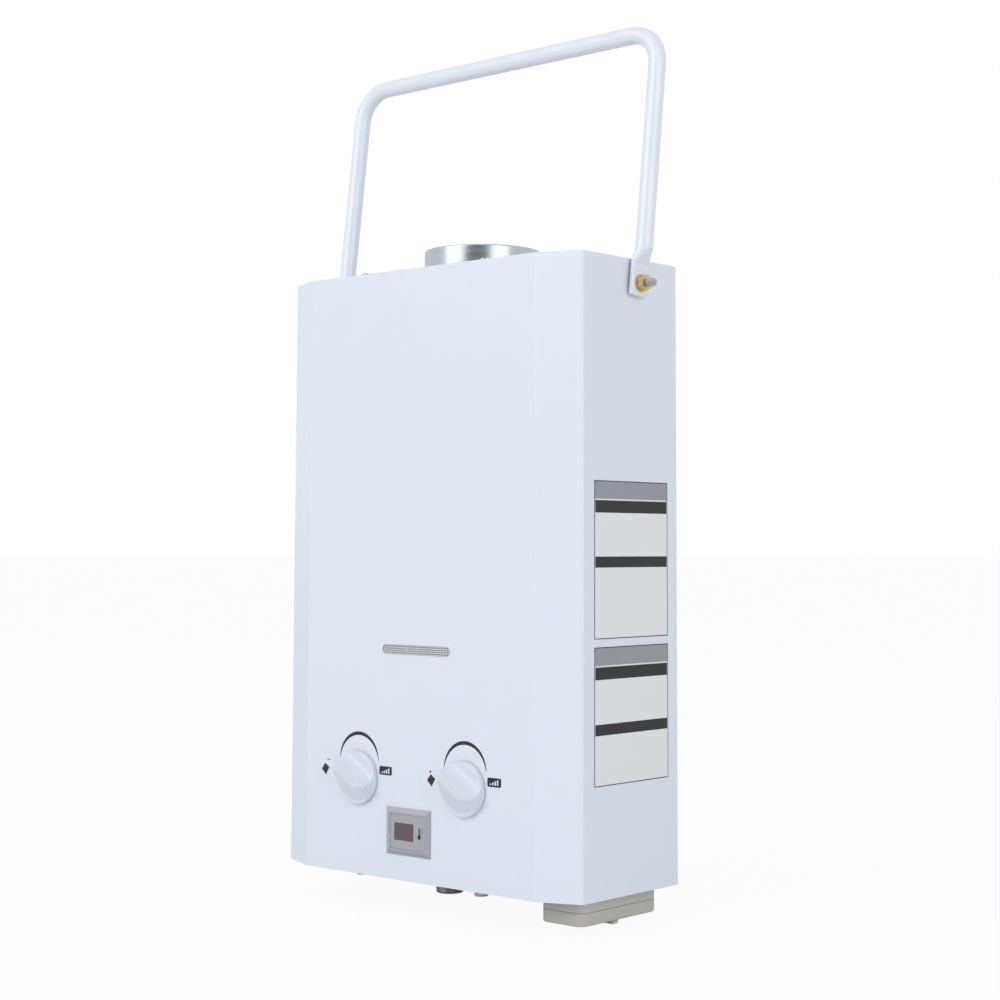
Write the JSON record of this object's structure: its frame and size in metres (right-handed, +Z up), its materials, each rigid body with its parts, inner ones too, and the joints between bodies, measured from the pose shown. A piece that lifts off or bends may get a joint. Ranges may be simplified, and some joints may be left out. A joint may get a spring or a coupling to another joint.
{
  "type": "portable propane water heater",
  "caption": "Portable tankless gas water heater: folded sheet cabinet with chamfered front edges, two knobs, digital display, round flue and a tilting tube handle.",
  "frame": {"origin": "centre of the round hole in the rear hanging bracket, in the plane of the wall", "axes": "+X to the right seen from the front, +Y from the front towards the wall, +Z up"},
  "size_m": [0.3286, 0.135, 0.6344],
  "materials": {
    "cover_paint": "white baked coat, fine texture",
    "zinc_sheet": "galvanised sheet",
    "steel": "plain steel",
    "handle_steel": "white baked coat on tube",
    "yellow_zinc": "yellow-passivated zinc plate",
    "knob_plastic": "white moulded plastic",
    "bezel_plastic": "silver-grey plastic",
    "window": "dark tinted lens",
    "board": "circuit board",
    "copper": "copper",
    "brass": "cast brass",
    "burner_steel": "stainless pressings",
    "cast_aluminium": "die casting",
    "nickel": "nickel plate",
    "rubber": "black rubber",
    "battery_plastic": "grey-beige plastic",
    "cell_jacket": "plain wrapped cell",
    "white_plastic": "white plastic",
    "black_plastic": "black plastic",
    "ceramic": "white ceramic",
    "spring_steel": "spring wire"
  },
  "bodies": {
    "cabinet": {"front_cover": "cover_paint", "cover_screws": "steel", "top_panel": "zinc_sheet", "bottom_panel": "zinc_sheet", "back_plate": "zinc_sheet", "wall_bracket": "zinc_sheet", "bracket_rivets": "steel", "sight_mesh": "steel", "display_bezel": "bezel_plastic", "display_window": "window", "display_board": "board", "flue_collar": "zinc_sheet", "draft_hood": "copper", "combustion_shell": "copper", "exchanger_case": "copper", "exchanger_fins": "copper", "exchanger_tubes": "copper", "cold_pipe": "copper", "hot_pipe": "copper", "burner_bars": "burner_steel", "burner_frame": "burner_steel", "gas_manifold": "cast_aluminium", "injectors": "brass", "gas_feed_pipe": "cast_aluminium", "gas_valve_body": "cast_aluminium", "gas_solenoid": "black_plastic", "rod_spring": "spring_steel", "plunger_spring": "spring_steel", "diaphragm": "rubber", "diaphragm_cover": "brass", "water_valve_body": "brass", "valve_screws": "steel", "micro_switch": "black_plastic", "gas_inlet": "nickel", "cold_inlet": "nickel", "hot_outlet": "nickel", "drain_body": "brass", "drain_screw": "white_plastic", "battery_housing": "battery_plastic", "battery_cells": "cell_jacket", "cell_contacts": "spring_steel", "igniter_box": "black_plastic", "spark_electrode": "ceramic", "flame_probe": "ceramic", "probe_bracket": "burner_steel", "overheat_switch": "steel", "handle_spacers": "yellow_zinc", "handle_washers": "yellow_zinc", "handle_nuts": "yellow_zinc", "handle_bolts": "steel"},
    "handle": {"handle": "handle_steel"},
    "gas_control": {"gas_knob": "knob_plastic", "gas_spindle": "brass"},
    "water_control": {"water_knob": "knob_plastic", "water_spindle": "brass"},
    "battery_door": {"battery_lid": "battery_plastic", "lid_strip": "spring_steel"},
    "rod": {"push_rod": "steel"},
    "lever": {"switch_lever": "spring_steel"},
    "plunger": {"solenoid_plunger": "steel"}
  },
  "joints": [
    {"name": "handle_tilt", "type": "hinge", "parent": "cabinet", "child": "handle", "pos_m": [0, -0.055, 0.0204], "axis": [1, 0, 0], "range_deg": [-150, 160]},
    {"name": "gas_knob_turn", "type": "hinge", "parent": "cabinet", "child": "gas_control", "pos_m": [-0.057, -0.1245, -0.3325], "axis": [0, 1, 0], "range_deg": [-31, 149]},
    {"name": "water_knob_turn", "type": "hinge", "parent": "cabinet", "child": "water_control", "pos_m": [0.049, -0.1245, -0.3325], "axis": [0, 1, 0], "range_deg": [-31, 149]},
    {"name": "battery_door_swing", "type": "hinge", "parent": "cabinet", "child": "battery_door", "pos_m": [0.0985, -0.0605, -0.41055], "axis": [0, 1, 0], "range_deg": [0, 100]},
    {"name": "push_rod_slide", "type": "slide", "parent": "cabinet", "child": "rod", "axis": [-1, 0, 0], "range_m": [0, 0.004], "stiffness_N_per_m": 400, "springref_m": -0.002, "deforming": ["diaphragm", "rod_spring"]},
    {"name": "switch_lever_swing", "type": "hinge", "parent": "cabinet", "child": "lever", "pos_m": [0.004, -0.0797, -0.3215], "axis": [0, 1, 0], "range_deg": [0, 15]},
    {"name": "safety_plunger_slide", "type": "slide", "parent": "cabinet", "child": "plunger", "axis": [-1, 0, 0], "range_m": [0, 0.0025], "stiffness_N_per_m": 300, "springref_m": -0.002, "deforming": ["plunger_spring"]}
  ],
  "couplings": [
    {"joint": "switch_lever_swing", "follows": "push_rod_slide", "rad_per_m": 63.3}
  ]
}
